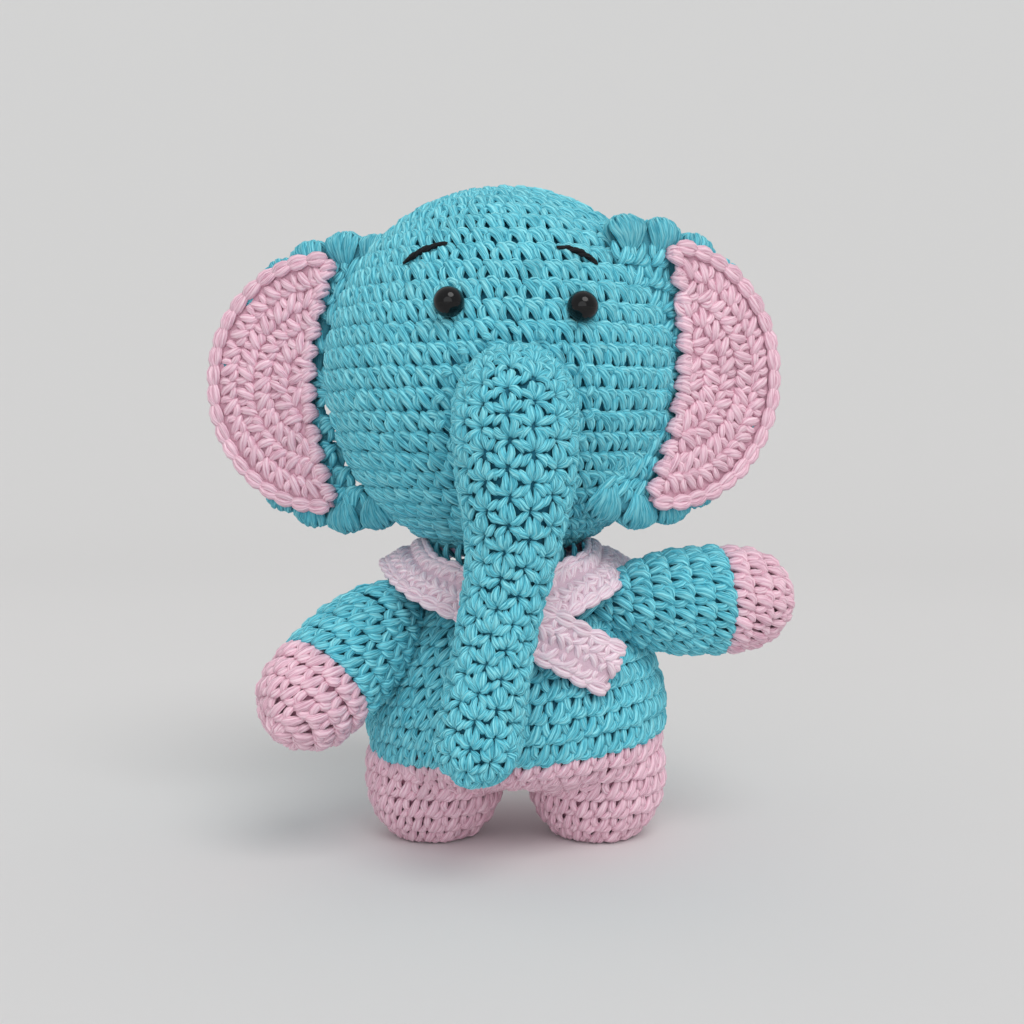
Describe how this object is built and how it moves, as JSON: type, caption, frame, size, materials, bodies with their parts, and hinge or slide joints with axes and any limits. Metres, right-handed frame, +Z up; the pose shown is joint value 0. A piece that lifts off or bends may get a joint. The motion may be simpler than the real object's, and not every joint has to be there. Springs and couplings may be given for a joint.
{
  "type": "stuffed elephant",
  "caption": "Crocheted stuffed elephant standing on two short legs, with a long trunk, two-layer ears and a neck scarf; head, trunk, ears, arms and scarf end move.",
  "frame": {"origin": "middle of the toy's outline at the floor, under the soles", "axes": "+Z up, -Y the way the face looks, +X the viewer's right"},
  "size_m": [0.1291, 0.093, 0.1379],
  "materials": {
    "blue_yarn": "crocheted cotton yarn, matt",
    "pink_yarn": "crocheted cotton yarn, matt",
    "scarf_yarn": "crocheted cotton yarn, matt",
    "wadding": "loose polyester wadding",
    "bead": "polished black",
    "washer_plastic": "moulded, unseen",
    "brow_thread": "black embroidery thread"
  },
  "bodies": {
    "torso": {"torso_shell": "blue_yarn", "torso_stuffing": "wadding", "hips_shell": "pink_yarn", "left_leg": "pink_yarn", "right_leg": "pink_yarn", "left_leg_stuffing": "wadding", "right_leg_stuffing": "wadding", "neck_seam": "blue_yarn", "scarf_wrap": "scarf_yarn", "left_shoulder_thread": "blue_yarn", "right_shoulder_thread": "blue_yarn"},
    "head": {"head_shell": "blue_yarn", "head_stuffing": "wadding", "left_eye": "bead", "right_eye": "bead", "left_eye_washer": "washer_plastic", "right_eye_washer": "washer_plastic", "left_brow": "brow_thread", "right_brow": "brow_thread", "trunk_seam": "blue_yarn", "left_ear_seam": "blue_yarn", "right_ear_seam": "blue_yarn"},
    "trunk": {"trunk_shell": "blue_yarn", "trunk_stuffing": "wadding"},
    "left_ear": {"left_ear_front": "pink_yarn", "left_ear_back": "blue_yarn"},
    "right_ear": {"right_ear_front": "pink_yarn", "right_ear_back": "blue_yarn"},
    "left_arm": {"left_sleeve": "blue_yarn", "left_hand": "pink_yarn", "left_arm_stuffing": "wadding"},
    "right_arm": {"right_sleeve": "blue_yarn", "right_hand": "pink_yarn", "right_arm_stuffing": "wadding"},
    "scarf_tail": {"scarf_tail": "scarf_yarn"}
  },
  "joints": [
    {"name": "neck_turn", "type": "hinge", "parent": "torso", "child": "head", "pos_m": [0.00282, 0.00835, 0.06], "axis": [0, 0, 1], "range_deg": [-20, 20]},
    {"name": "trunk_lift", "type": "hinge", "parent": "head", "child": "trunk", "pos_m": [0.00492, -0.03465, 0.0895], "axis": [-1, 0, 0], "range_deg": [0, 50]},
    {"name": "left_ear_flap", "type": "hinge", "parent": "head", "child": "left_ear", "pos_m": [-0.03723, 0.01045, 0.0969], "axis": [0, 0, 1], "range_deg": [-8, 25]},
    {"name": "right_ear_flap", "type": "hinge", "parent": "head", "child": "right_ear", "pos_m": [0.03973, -0.00732, 0.0969], "axis": [0, 0, -1], "range_deg": [-8, 25]},
    {"name": "left_arm_raise", "type": "hinge", "parent": "torso", "child": "left_arm", "pos_m": [-0.01618, -0.00065, 0.0535], "axis": [0.0907, 0.6761, -0.7312], "range_deg": [0, 35]},
    {"name": "right_arm_forward", "type": "hinge", "parent": "torso", "child": "right_arm", "pos_m": [0.02182, -0.00965, 0.0508], "axis": [0, 0, -1], "range_deg": [0, 25]},
    {"name": "scarf_tail_flap", "type": "hinge", "parent": "torso", "child": "scarf_tail", "pos_m": [0.00382, -0.02585, 0.051], "axis": [-0.4439, -0.1528, -0.8829], "range_deg": [0, 42]}
  ]
}
